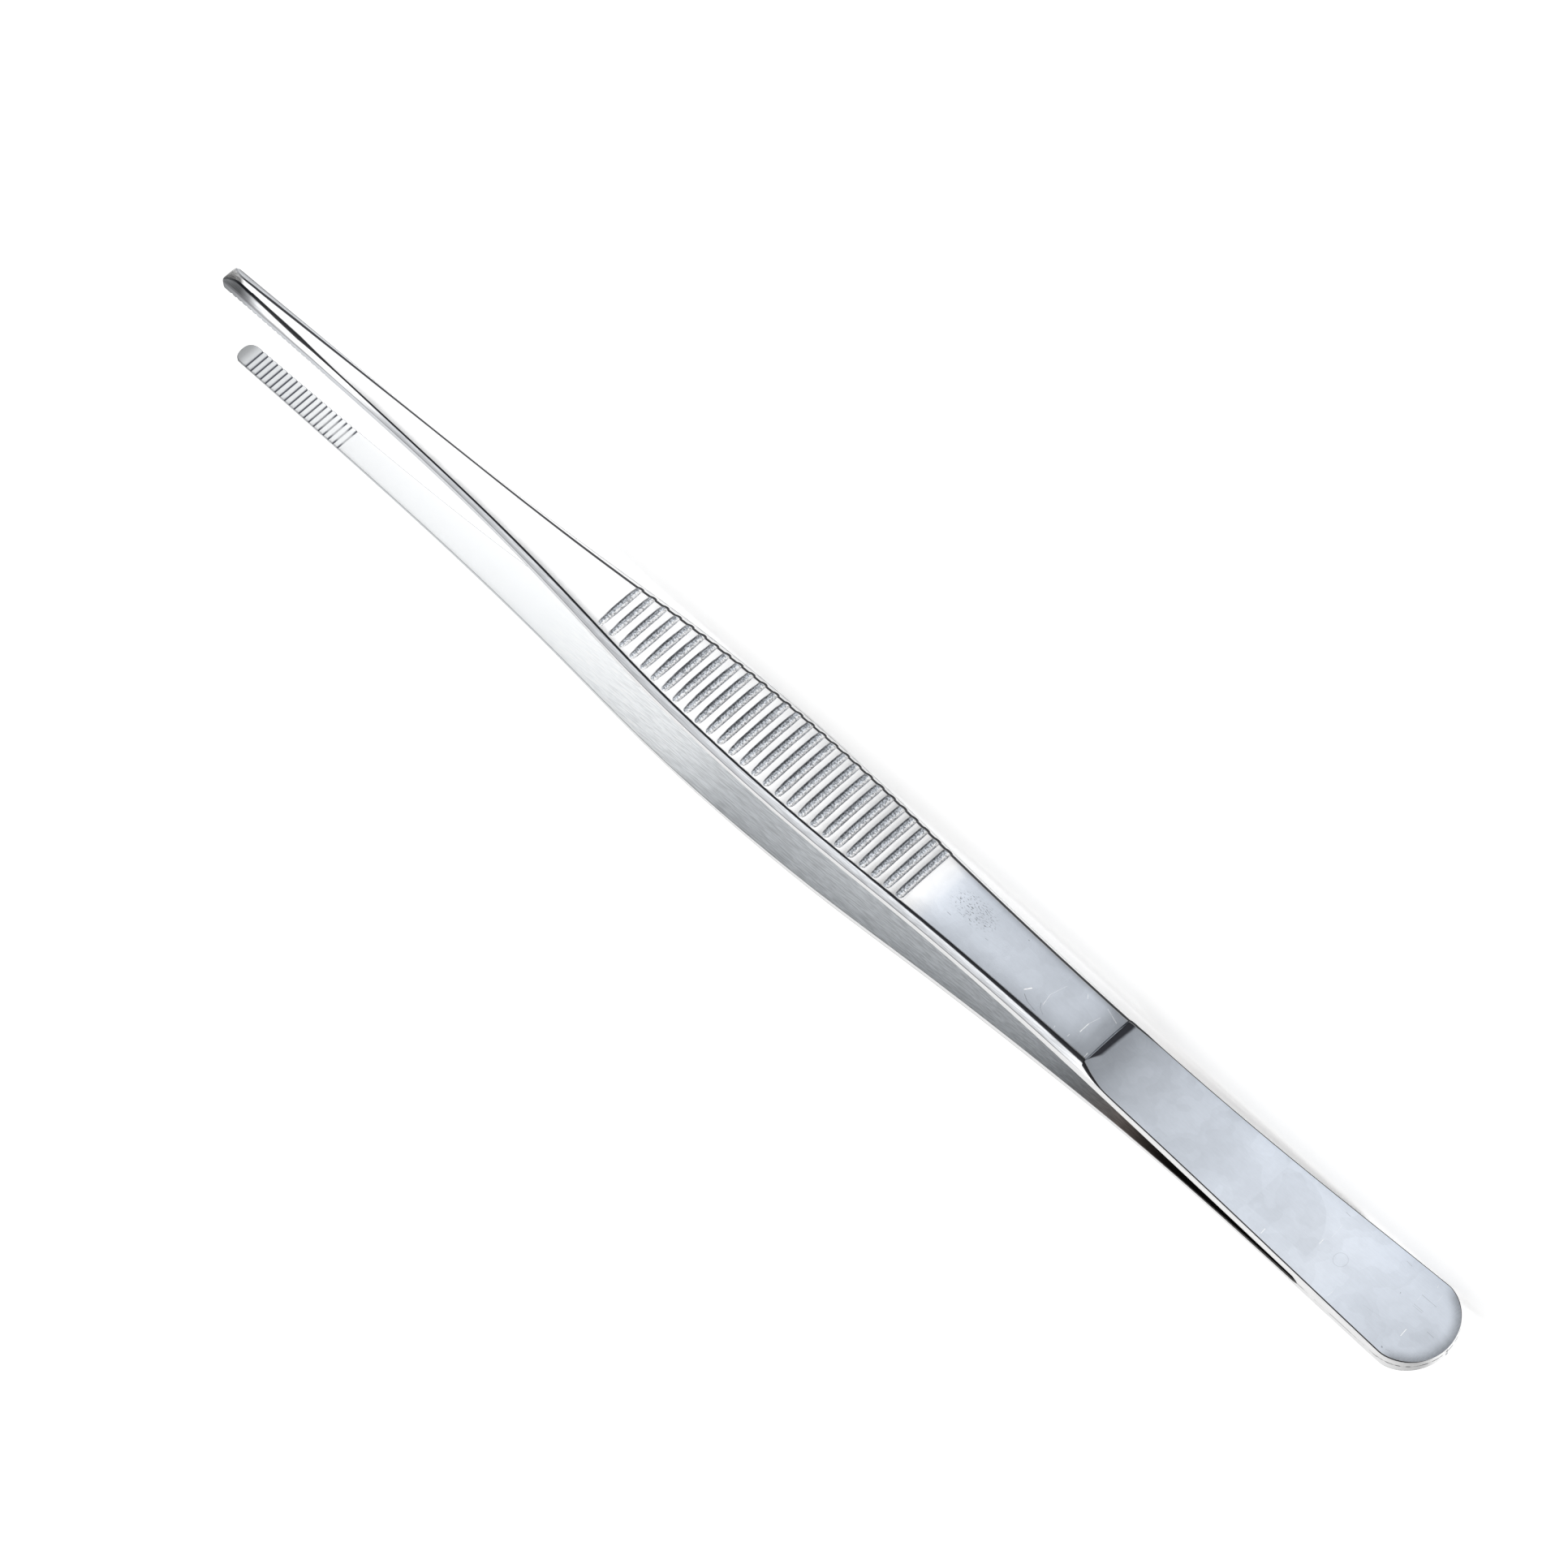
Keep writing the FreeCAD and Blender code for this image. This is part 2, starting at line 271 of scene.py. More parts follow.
def stations():
    """Places along the arm where it gets a section, close together where its form is fine."""
    turn = np.radians(np.linspace(2.0, 90.0, 24))
    parts = [BUTT_RUN * (1 - np.cos(turn))]
    parts.append(np.arange(5.8, WELD_LENGTH, 0.8))
    parts.append(np.linspace(WELD_LENGTH, WELD_LENGTH + WELD_END_RUN, 4))
    parts.append(np.arange(19.5, RAMP_START, 0.9))
    parts.append(np.linspace(RAMP_START, 51.8, 16))
    parts.append(np.linspace(51.9, CREST - 0.03, 18))
    parts.append(CREST + np.array([-0.002, 0.0, 0.02, 0.05, 0.09, 0.14, 0.2, 0.4]))
    parts.append(np.arange(54.0, 81.7, 0.7))
    offsets = np.array([0.0, 0.13, 0.27, 0.4, 0.5, 0.56, 0.61, 0.66, 0.72, 0.82])
    offsets = np.concatenate([-offsets[:0:-1], offsets, [GROOVE_PITCH / 2]])
    for i in range(GROOVES):
        parts.append(GROOVE_FIRST + i * GROOVE_PITCH + offsets)
    parts.append(np.arange(134.5, 181.2, 0.9))
    offsets = np.array([-0.33, -TOOTH_WIDTH / 2, -0.12, 0, 0.12, TOOTH_WIDTH / 2, 0.33, 0.43])
    for i in range(TEETH):
        parts.append(TEETH_FIRST + i * TEETH_PITCH + offsets)
    tip = LENGTH - NOSE_ROUND_FAR * (1 - np.cos(np.radians(np.linspace(3.0, 90.0, 16))))
    xs = np.concatenate(parts)
    xs = np.concatenate([xs[xs < tip.min() - 0.05], tip])
    xs = np.unique(np.round(xs, 4))
    return xs[np.concatenate([[True], np.diff(xs) > 0.0015])]


def bend_over(a, corner, b, count):
    """Points from a round a corner to b, both ends left out."""
    out = []
    for t in np.linspace(0, 1, count + 2)[1:-1]:
        out.append(tuple((1 - t) ** 2 * p + 2 * t * (1 - t) * q + t ** 2 * r
                         for p, q, r in zip(a, corner, b)))
    return out


def edge_point(x, side):
    """Where the outer face meets one side: +1 the near side, -1 the far one."""
    z = rim_top(x)
    for _ in range(14):
        y = side * side_half(x, z, side)
        z = outer_height(x, y)
    return side * side_half(x, z, side), z


def section_points(x):
    """One closed loop of points for every station, with what kind of surface each lies on."""
    seam = 0.012 + 0.05 * np.clip((x - 12.0) / 6.0, 0, 1) + 0.03 * np.clip(1 - x / 5.0, 0, 1)
    seam = np.where(x > WELD_LENGTH, np.interp(x, (20, 32, 45), (0.2, 0.14, 0.09)), seam)
    ends = {}
    for side, widths in ((1, NEAR_RIM), (-1, FAR_RIM)):
        rim = np.interp(x, *np.array(widths, float).T) * np.clip(x / 2.0, 0.2, 1)
        rim = np.minimum(rim, 0.45 * side_half(x, rim_top(x), side) + 0.01)
        y_c, z_c = edge_point(x, side)
        y_in = y_c - side * rim
        z_in = outer_height(x, y_in)
        z_dn = z_c - 0.9 * rim
        floor = inner_height(x, y_c)
        z_dn = np.maximum(z_dn, floor + 0.6 * (z_c - floor))
        y_dn = side * side_half(x, z_dn, side)
        part = spread(x) + PARTING_SHARE * thickness(x)
        part = np.clip(part, floor + 0.25 * (z_dn - floor), floor + 0.8 * (z_dn - floor))
        z_up = floor + seam
        ends[side] = dict(corner=(y_c, z_c), inward=(y_in, z_in), down=(y_dn, z_dn), part=part,
                          foot=(side * side_half(x, floor, side), floor),
                          up=(side * side_half(x, z_up, side), z_up),
                          floor_in=(side * (side_half(x, floor, side) - seam), floor))
    loop = []
    far, near = ends[-1], ends[1]
    for q in 1 - (1 - np.linspace(0, 1, OUTER_POINTS)) ** 1.3:
        y = far["inward"][0] + (near["inward"][0] - far["inward"][0]) * q
        loop.append(("outer", y, outer_height(x, y), 0))

    def down_side(e):
        bend = bend_over(e["inward"], e["corner"], e["down"], 4)
        pts = [("rim", y, z, 0) for y, z in bend]
        side = 1 if e is near else -1
        pts.append(("side", *e["down"], 0))
        for share in (0.35, 0.7):
            z = e["down"][1] + (e["part"] - e["down"][1]) * share
            pts.append(("side", side * side_half(x, z, side), z, share))
        pts.append(("side", side * side_half(x, e["part"], side), e["part"], 1))
        for share in (0.3, 0.65):
            z = e["part"] + (e["up"][1] - e["part"]) * share
            pts.append(("side", side * side_half(x, z, side), z, 1 + share))
        pts.append(("side", *e["up"], 2))
        bend = bend_over(e["up"], e["foot"], e["floor_in"], 3)
        pts += [("edge", y, z, 2) for y, z in bend]
        return pts

    loop += down_side(near)
    for share in np.linspace(0, 1, INNER_POINTS):
        y = near["floor_in"][0] + (far["floor_in"][0] - near["floor_in"][0]) * share
        loop.append(("inner", y, near["floor_in"][1], 2))
    loop += down_side(far)[::-1]
    return loop


def arm_mesh(name, mirror):
    """One arm as a closed mesh in the part's frame, in metres."""
    x = stations()
    loop = section_points(x)
    rings = len(x)
    around = len(loop)
    co = np.zeros((rings, around, 3))
    kind = {k: np.zeros((rings, around)) for k in ("outer", "rim", "side", "edge", "inner")}
    facet = np.zeros((rings, around))
    for j, (k, y, z, f) in enumerate(loop):
        co[:, j, 0] = x
        co[:, j, 1] = y
        co[:, j, 2] = z
        kind[k][:, j] = 1
        facet[:, j] = f
    notch = np.clip((inner_height(x, 0) - spread(x)) / TOOTH_DEPTH, 0, 1)
    notch = np.where(x > TEETH_FIRST - 1, notch, 0)[:, None] * (kind["inner"] + kind["edge"])
    plain = rim_top(x)[:, None] + crown(x[:, None], co[:, :, 1])
    cut = np.clip((plain - co[:, :, 2]) / 0.07, 0, 1) * on_grip(x)[:, None]
    cut = cut * (kind["outer"] + kind["rim"])
    near_y, _ = edge_point(x, 1)
    far_y, _ = edge_point(x, -1)
    from_near = near_y[:, None] - co[:, :, 1]
    from_far = co[:, :, 1] - far_y[:, None]
    mm = co.reshape(-1, 3).copy()
    if mirror:
        co[:, :, 2] *= -1
    flat = co.reshape(-1, 3)
    turned = np.stack([flat[:, 0], -flat[:, 2], flat[:, 1]], 1)
    c, s = math.cos(REST_TILT), math.sin(REST_TILT)
    place = np.stack([turned[:, 0] * c + turned[:, 2] * s, turned[:, 1],
                      -turned[:, 0] * s + turned[:, 2] * c], 1)
    place = (place + np.array(WELD_ORIGIN)) / 1000

    i = np.arange(rings - 1)[:, None] * around
    j = np.arange(around)[None, :]
    k = (j + 1) % around
    quads = np.stack([i + j, i + k, i + around + k, i + around + j], -1).reshape(-1, 4)
    faces = quads.tolist()
    faces.append(list(range(around))[::-1])
    faces.append([(rings - 1) * around + n for n in range(around)])
    if not mirror:
        faces = [f[::-1] for f in faces]
    mesh = bpy.data.meshes.new(name)
    mesh.from_pydata(place.tolist(), [], faces)
    mesh.validate()
    layers = {"on_" + name: values for name, values in kind.items()}
    layers.update(groove=cut, notch=notch, facet=facet, near_mm=from_near, far_mm=from_far)
    for label, values in layers.items():
        layer = mesh.attributes.new(label, "FLOAT", "POINT")
        layer.data.foreach_set("value", values.ravel().astype(np.float32))
    layer = mesh.attributes.new("arm_mm", "FLOAT_VECTOR", "POINT")
    layer.data.foreach_set("vector", mm.ravel().astype(np.float32))
    for polygon in mesh.polygons:
        polygon.use_smooth = True
    mesh.update()
    obj = bpy.data.objects.new(name, mesh)
    bpy.context.scene.collection.objects.link(obj)
    return obj


class Nodes:
    """Short ways to add and join shader nodes."""

    def __init__(self, tree):
        self.tree = tree

    def add(self, kind, **settings):
        node = self.tree.nodes.new(kind)
        for name, value in settings.items():
            setattr(node, name, value)
        return node

    def put(self, socket, value):
        if isinstance(value, bpy.types.NodeSocket):
            self.tree.links.new(value, socket)
        else:
            socket.default_value = value

    def math(self, operation, a, b=0.0):
        node = self.add("ShaderNodeMath", operation=operation)
        for socket, value in zip(node.inputs, (a, b)):
            self.put(socket, value)
        return node.outputs[0]

    def attribute(self, name, output="Fac"):
        return self.add("ShaderNodeAttribute", attribute_name=name).outputs[output]

    def noise(self, vector, scale, detail=3.0, roughness=0.55):
        node = self.add("ShaderNodeTexNoise")
        self.put(node.inputs["Vector"], vector)
        node.inputs["Scale"].default_value = scale
        node.inputs["Detail"].default_value = detail
        node.inputs["Roughness"].default_value = roughness
        return node.outputs["Fac"]

    def scaled(self, vector, factors):
        node = self.add("ShaderNodeVectorMath", operation="MULTIPLY")
        self.put(node.inputs[0], vector)
        node.inputs[1].default_value = factors
        return node.outputs[0]

    def span(self, value, low, high, to_low=0.0, to_high=1.0):
        node = self.add("ShaderNodeMapRange", interpolation_type="SMOOTHSTEP")
        self.put(node.inputs["Value"], value)
        node.inputs["From Min"].default_value = low
        node.inputs["From Max"].default_value = high
        node.inputs["To Min"].default_value = to_low
        node.inputs["To Max"].default_value = to_high
        return node.outputs[0]

    def mix(self, factor, a, b, clamp=True, blend_type="MIX"):
        node = self.add("ShaderNodeMix", data_type="RGBA", clamp_factor=clamp,
                        blend_type=blend_type)
        self.put(node.inputs[0], factor)
        self.put(node.inputs[6], a)
        self.put(node.inputs[7], b)
        return node.outputs[2]

    def fade(self, value, high, low, at_high=0.0, at_low=1.0):
        """Falls from at_low below low to at_high above high."""
        return self.span(value, low, high, at_low, at_high)

    def add_up(self, a, b):
        return self.math("ADD", a, b)

    def times(self, colour, factor):
        """A colour times a number, which may be over 1."""
        return self.mix(factor, (0.0, 0.0, 0.0, 1.0), colour, clamp=False)

    def product(self, a, b):
        return self.mix(1.0, a, b, blend_type="MULTIPLY")

    def length(self, vector):
        node = self.add("ShaderNodeVectorMath", operation="LENGTH")
        self.put(node.inputs[0], vector)
        return node.outputs["Value"]

    def distance(self, point, place):
        node = self.add("ShaderNodeVectorMath", operation="DISTANCE")
        self.put(node.inputs[0], point)
        node.inputs[1].default_value = place
        return node.outputs["Value"]

    def stroke(self, point, start, end, width, strength):
        """The strength on a straight stroke from start to end, 0 off it."""
        start, end = Vector(start), Vector(end)
        run = end - start
        offset = self.add("ShaderNodeVectorMath", operation="SUBTRACT")
        self.put(offset.inputs[0], point)
        offset.inputs[1].default_value = start
        along = self.add("ShaderNodeVectorMath", operation="DOT_PRODUCT")
        self.put(along.inputs[0], offset.outputs[0])
        along.inputs[1].default_value = run / run.length_squared
        # Two plain nodes hold the share from 0 to 1. With one clamped node here instead, a
        # material with this many strokes rendered all black.
        share = self.math("MINIMUM", self.math("MAXIMUM", along.outputs["Value"], 0.0), 1.0)
        nearest = self.add("ShaderNodeVectorMath", operation="SCALE")
        nearest.inputs[0].default_value = run
        self.put(nearest.inputs["Scale"], share)
        gap = self.add("ShaderNodeVectorMath", operation="DISTANCE")
        self.put(gap.inputs[0], offset.outputs[0])
        self.put(gap.inputs[1], nearest.outputs[0])
        return self.fade(gap.outputs["Value"], 0.5 * width, 0.15 * width, 0.0, strength)

    def ramp(self, value, stations, blue=1.0):
        """A grey whose lightness follows the stations along value, cooler the more blue it has."""
        low, high = stations[0][0], stations[-1][0]
        node = self.add("ShaderNodeValToRGB")
        elements = node.color_ramp.elements
        while len(elements) < len(stations):
            elements.new(0.5)
        for element, (at, tone) in zip(elements, stations):
            element.position = (at - low) / (high - low)
            cool = blue * min(1.0, (1 - tone) / 0.3)
            element.color = (tone * (1 - 0.065 * cool), tone, tone * (1 + 0.1 * cool), 1)
        share = self.math("DIVIDE", self.math("SUBTRACT", value, low), high - low)
        self.put(node.inputs[0], share)
        return node.outputs[0]

    def blend(self, factor, a, b):
        node = self.add("ShaderNodeMix", data_type="FLOAT")
        self.put(node.inputs[0], factor)
        self.put(node.inputs[2], a)
        self.put(node.inputs[3], b)
        return node.outputs[0]


# How light each surface is along the arm, painted light and shade included: station in mm, then a
# reflectance
# Outer face: painted reflections make the heel cool grey and the grip and blade bright, with
# painted shade down the ramp into the valley and a painted highlight on the crest
OUTER_PAINTED_LIGHT = [(0, 0.58), (3, 0.60), (6.5, 0.63), (12, 0.70), (18, 0.73), (25, 0.71), (31, 0.69),
              (36, 0.61), (41, 0.57), (44.8, 0.52), (47, 0.47), (48.6, 0.43), (50, 0.375),
              (51.2, 0.32), (53.18, 0.27), (53.3, 0.7), (53.45, 0.66), (53.65, 0.34), (54.3, 0.32),
              (55, 0.38), (56, 0.49), (58.4, 0.58), (64, 0.565), (69, 0.61), (74, 0.61),
              (76.8, 0.66), (78.7, 0.73), (80.2, 0.88), (81.4, 0.98), (120, 0.98), (LENGTH, 0.99)]
# Sides: painted light and shade, the near upper facet greyer than the far one, the lower facet
# bright as a painted reflection, all darker round the nose
UPPER_PAINTED_LIGHT = [(0, 0.95), (50, 0.95), (53, 0.85), (57, 0.62), (72, 0.54), (104, 0.55), (140, 0.48),
              (158, 0.38), (170, 0.42), (180, 0.95), (192, 0.97), (193.6, 0.8), (195.4, 0.26),
              (197, 0.1), (LENGTH, 0.2)]
UPPER_FAR_PAINTED_LIGHT = [(0, 0.95), (150, 0.95), (172, 0.9), (184, 0.6), (LENGTH, 0.45)]
LOWER_PAINTED_LIGHT = [(0, 0.99), (125, 0.99), (140, 0.82), (162, 0.78), (178, 0.7), (194, 0.62),
              (196.5, 0.36), (LENGTH, 0.2)]
# Inner face: painted shade, near black in the crevice by the weld, and painted light toward the
# tips
INNER_PAINTED_LIGHT = [(0, 0.02), (32, 0.03), (38, 0.045), (41, 0.1), (44, 0.24), (48, 0.5), (54, 0.53),
              (57, 0.6), (62, 0.71), (69, 0.76), (74, 0.74), (80, 0.75), (100, 0.83), (112, 0.72),
              (122, 0.93), (140, 0.99), (184, 0.99), (192, 0.86), (198.2, 0.75), (198.9, 0.45),
              (LENGTH, 0.35)]
# Painted light and shade across one groove, lighter on its heel side and darkest in a line at its
# tip-side edge, from its heel-side edge to its tip-side edge: offset in mm, reflectance.
# The offsets are for a groove of the half width given first.
GROOVE_SHADE_HALF = 0.57
GROOVE_PAINTED_SHADE = [(-0.6, 0.9), (-0.54, 0.85), (-0.46, 0.8), (-0.38, 0.9), (-0.3, 1.0), (-0.12, 1.0),
               (0.0, 0.85), (0.1, 0.72), (0.2, 0.58), (0.3, 0.46), (0.44, 0.48), (0.49, 0.24),
               (0.56, 0.14), (0.6, 0.14)]

# Marks of use on the right arm's outer face, and one painted highlight, as short strokes:
# x and y where each starts and ends, its width, and how much lighter (or darker, below 0) it is
STROKES = [(61.1, -1.65, 61.7, 0.5, 0.09, 0.4), (61.7, 0.5, 61.4, 2.0, 0.1, 0.6),
           (64.25, 2.1, 63.75, 1.4, 0.24, 0.85), (56.05, 1.4, 56.05, 0.0, 0.16, 0.75),
           (56.05, 0.0, 55.65, -1.5, 0.08, 0.5), (58.8, -2.7, 58.35, -2.2, 0.1, 0.6),
           (55.85, -2.9, 53.9, -2.3, 0.16, 0.3), (58.6, 2.9, 58.55, 3.1, 0.12, 0.6),
           # The light stroke from (53.6, 2.7) to (53.55, 3.4) is a painted highlight on the corner
           # where the crest ends
           (56.7, 2.5, 56.7, 2.8, 0.12, 0.5), (53.6, 2.7, 53.55, 3.4, 0.1, 0.8),
           (19.1, 0.0, 19.05, 0.7, 0.13, 0.9), (18.8, -2.9, 18.6, -0.8, 0.07, 0.4),
           (24.7, 3.7, 24.65, 4.4, 0.18, 0.8), (13.85, 3.9, 13.95, 4.8, 0.08, 0.5),
           (4.75, 1.6, 4.65, 2.6, 0.13, 0.9), (5.9, -4.9, 5.8, -4.6, 0.09, 0.6),
           (4.7, -4.3, 4.6, -3.4, 0.06, 0.4), (6.4, -2.5, 6.35, -1.9, 0.06, 0.5),
           (63.85, 2.5, 63.0, 2.95, 0.1, -0.45), (63.0, 2.95, 61.5, 3.15, 0.08, -0.4),
           (61.7, 2.0, 61.35, 2.5, 0.1, -0.35), (61.35, 2.5, 60.6, 2.85, 0.07, -0.35),
           (6.4, -2.75, 4.25, -2.77, 0.07, -0.4), (6.3, -1.3, 4.85, -1.3, 0.06, -0.35),
           (6.25, -1.05, 4.85, -1.1, 0.05, -0.3), (10.5, -4.6, 9.65, -4.55, 0.07, -0.3),
           (19.6, -4.25, 18.9, -4.2, 0.09, -0.35), (2.9, 0.17, 1.9, 0.15, 0.07, -0.35),
           (8.35, -1.3, 8.3, -1.15, 0.12, -0.35),
           (5.25, 5.05, 5.15, 5.1, 0.2, -0.55), (4.7, 5.0, 4.2, 4.85, 0.07, -0.3),
           (2.0, 4.6, 1.95, 4.7, 0.14, -0.6), (68.3, -2.7, 68.2, -2.7, 0.12, -0.6),
           (77.3, 1.4, 76.8, 1.4, 0.1, -0.45), (71.9, 0.7, 71.5, 0.68, 0.07, -0.4),
           (10.3, 2.8, 7.9, 2.5, 0.05, -0.14)]
RING_AT, RING_RADIUS = (15.95, 0.5), 0.87


def outer_face(n, mm, x, y, marked):
    """Polished outer face: painted reflections, cool grey at the heel and bright on the grip and
    blade, painted shade at the rims, butt and valley, stains, and marks on one arm with one painted
    highlight among them.
    """
    face = n.ramp(x, OUTER_PAINTED_LIGHT)
    # Stains with a clear edge, a soft haze and fine hairlines along the arm
    blots = n.noise(mm, 0.21, 2.0, 0.5)
    stain = n.add_up(n.span(blots, 0.44, 0.455, -0.035, 0.0), n.span(blots, 0.55, 0.565, 0.0, 0.04))
    haze = n.span(n.noise(mm, 0.5, 4.0, 0.65), 0.3, 0.7, 0.97, 1.02)
    hairs = n.span(n.noise(n.scaled(mm, (0.7, 8.0, 1.0)), 1.0, 2.0, 0.6), 0.3, 0.7, -0.015, 0.015)
    face = n.times(face, n.add_up(n.add_up(haze, stain), hairs))
    # Painted light lifts the plate along its far rim; painted shade darkens the blade softly along
    # both rims
    on_heel = n.math("LESS_THAN", x, CREST)
    lift = n.math("MULTIPLY", n.fade(y, 1.5, -4.5), n.math("MULTIPLY", on_heel, 0.1))
    face = n.times(face, n.add_up(lift, 1.0))
    from_near = n.attribute("near_mm")
    grip_end = n.span(x, 53.0, 56.0)
    shade = n.math("MULTIPLY", n.fade(from_near, 2.8, 0.2), n.math("MULTIPLY", grip_end, 0.17))
    shade = n.math("MULTIPLY", shade, n.fade(x, 100.0, 84.0))
    painted_rim_shade = n.math("MULTIPLY", n.fade(from_near, 0.95, 0.05), n.span(x, 118.0, 136.0))
    painted_rim_shade = n.math("MULTIPLY", painted_rim_shade, n.fade(x, 186.0, 172.0, 0.0, 0.42))
    far_shade = n.math("MULTIPLY", n.fade(n.attribute("far_mm"), 1.1, 0.05),
                       n.math("MULTIPLY", grip_end, n.fade(x, 84.0, 80.0, 0.0, 0.3)))
    face = n.times(face, n.math("SUBTRACT", 1.0, n.add_up(n.add_up(shade, painted_rim_shade), far_shade)))
    if marked:
        face = marks_and_crest_highlight(n, mm, x, y, face)
    # Butt end: the face rolls over, and painted shade darkens it toward its outline
    back = n.math("MAXIMUM", n.math("SUBTRACT", 1.0, n.math("DIVIDE", x, BUTT_RUN)), 0.0)
    out_by = n.math("ADD", n.math("POWER", back, 2.0),
                    n.math("POWER", n.math("DIVIDE", y, BUTT_HALF_WIDTH), 2.0))
    roll_shade = n.math("MULTIPLY", n.span(out_by, 0.48, 1.04), n.span(back, 0.0, 0.45))
    grain = n.span(n.noise(n.scaled(mm, (9.0, 2.0, 1.0)), 1.0, 2.0, 0.6), 0.3, 0.7, 0.5, 0.6)
    face = n.times(face, n.math("SUBTRACT", 1.0, n.math("MULTIPLY", roll_shade, grain)))
    # Painted shade in the valley at the foot of the step: wide at the far rim, gone before the near
    # one
    wide = n.math("SUBTRACT", 0.62, n.math("MULTIPLY", n.math("MAXIMUM", y, -4.0), 0.035))
    wide = n.math("MAXIMUM", n.math("MULTIPLY", wide, n.span(y, 3.4, 1.2)), 0.01)
    behind = n.math("SUBTRACT", 53.2, x)
    valley = n.math("MULTIPLY", n.fade(n.math("DIVIDE", behind, wide), 1.5, 0.75),
                    n.math("GREATER_THAN", behind, 0.0))
    return n.mix(n.math("MULTIPLY", valley, 0.95), face, (0.02, 0.02, 0.025, 1))


def marks_and_crest_highlight(n, mm, x, y, face):
    """Scuffs, scratches, specks, a drying ring and one large stain on the outer face, and a painted
    highlight where the crest ends.
    """
    flat = n.add("ShaderNodeCombineXYZ")
    n.put(flat.inputs[0], x)
    n.put(flat.inputs[1], y)
    ragged = n.span(n.noise(mm, 7.0, 2.0, 0.7), 0.35, 0.6, 0.35, 1.0)
    light, dark = 0.0, 0.0
    for x0, y0, x1, y1, width, amount in STROKES:
        on_it = n.stroke(flat.outputs[0], (x0, y0, 0), (x1, y1, 0), width, abs(amount))
        if amount > 0:
            light = n.math("MAXIMUM", light, on_it)
        else:
            dark = n.math("MAXIMUM", dark, on_it)
    # Short dashes rubbed into the blade beside the first groove
    patch = n.add("ShaderNodeVectorMath", operation="SUBTRACT")
    n.put(patch.inputs[0], flat.outputs[0])
    patch.inputs[1].default_value = (75.2, -0.95, 0)
    reach = n.length(n.scaled(patch.outputs[0], (0.27, 0.5, 0)))
    dashes = n.span(n.noise(n.scaled(flat.outputs[0], (2.2, 9.5, 1.0)), 1.0, 1.0, 0.6), 0.6, 0.65)
    dashes = n.math("MULTIPLY", dashes, n.fade(reach, 1.1, 0.5))
    dark = n.math("MAXIMUM", dark, n.math("MULTIPLY", dashes, 0.65))
    ring = n.math("SUBTRACT", n.distance(flat.outputs[0], (*RING_AT, 0)), RING_RADIUS)
    ring = n.fade(n.math("ABSOLUTE", ring), 0.07, 0.02)
    dark = n.math("MAXIMUM", dark, n.math("MULTIPLY", ring, 0.13))
    stain = n.math("MULTIPLY", n.fade(n.distance(flat.outputs[0], (25.5, 2.3, 0)), 6.6, 6.45),
                   n.math("MULTIPLY", n.fade(x, 28.4, 28.2), n.fade(y, 3.0, 2.8)))
    dark = n.add_up(dark, n.math("MULTIPLY", stain, 0.05))
    face = n.times(face, n.math("SUBTRACT", 1.0, dark))
    return n.mix(n.math("MULTIPLY", light, ragged), face, (1.0, 1.0, 1.0, 1))


def grooved(n, x, y, groove, face, grit):
    """Finger grooves: blasted, with painted shade on the tip side and a dark painted line at that
    edge, and painted light on the heel side.
    """
    pitch = n.math("DIVIDE", n.math("SUBTRACT", x, GROOVE_FIRST), GROOVE_PITCH)
    phase = n.math("SUBTRACT", n.math("FRACT", n.math("ADD", pitch, 0.5)), 0.5)
    offset = n.math("MULTIPLY", phase, GROOVE_PITCH)
    # The groove is narrower where it is shallower, so its tones are drawn together there
    along = GROOVE_SHALLOWER / (GROOVES * GROOVE_PITCH)
    across = (GROOVE_DEPTH_FAR - GROOVE_DEPTH_NEAR) / (2 * GRIP_HALF_WIDTH)
    middle = 0.5 * (GROOVE_DEPTH_FAR + GROOVE_DEPTH_NEAR) + along * GROOVE_FIRST
    deep = n.math("SUBTRACT", middle, n.math("MULTIPLY", x, along))
    deep = n.math("SUBTRACT", deep, n.math("MULTIPLY", y, across))
    half = n.math("SQRT", n.math("MULTIPLY", deep, n.math("SUBTRACT", 2 * GROOVE_RADIUS, deep)))
    drawn = n.math("MULTIPLY", n.math("DIVIDE", offset, half), GROOVE_SHADE_HALF)
    hollow = n.ramp(drawn, GROOVE_PAINTED_SHADE, 0.8)
    hollow = n.times(hollow, n.span(grit, 0.36, 0.64, 0.45, 1.5))
    # Painted shade: each land darkens away from the groove before it, at the heel's end of the grip
    behind = n.math("MULTIPLY", n.math("LESS_THAN", offset, 0.0), GROOVE_PITCH)
    land_shade = n.fade(n.add_up(offset, behind), 1.5, 0.55)
    land_shade = n.math("MULTIPLY", land_shade, n.fade(x, 118.0, 88.0, 0.06, 1.0))
    in_grip = n.math("MULTIPLY", n.math("GREATER_THAN", x, GRIP_START + 1),
                     n.math("LESS_THAN", x, GRIP_END - 1))
    land_shade = n.math("MULTIPLY", n.math("MULTIPLY", land_shade, in_grip), 0.36)
    face = n.times(face, n.math("SUBTRACT", 1.0, land_shade))
    return n.mix(groove, face, hollow)


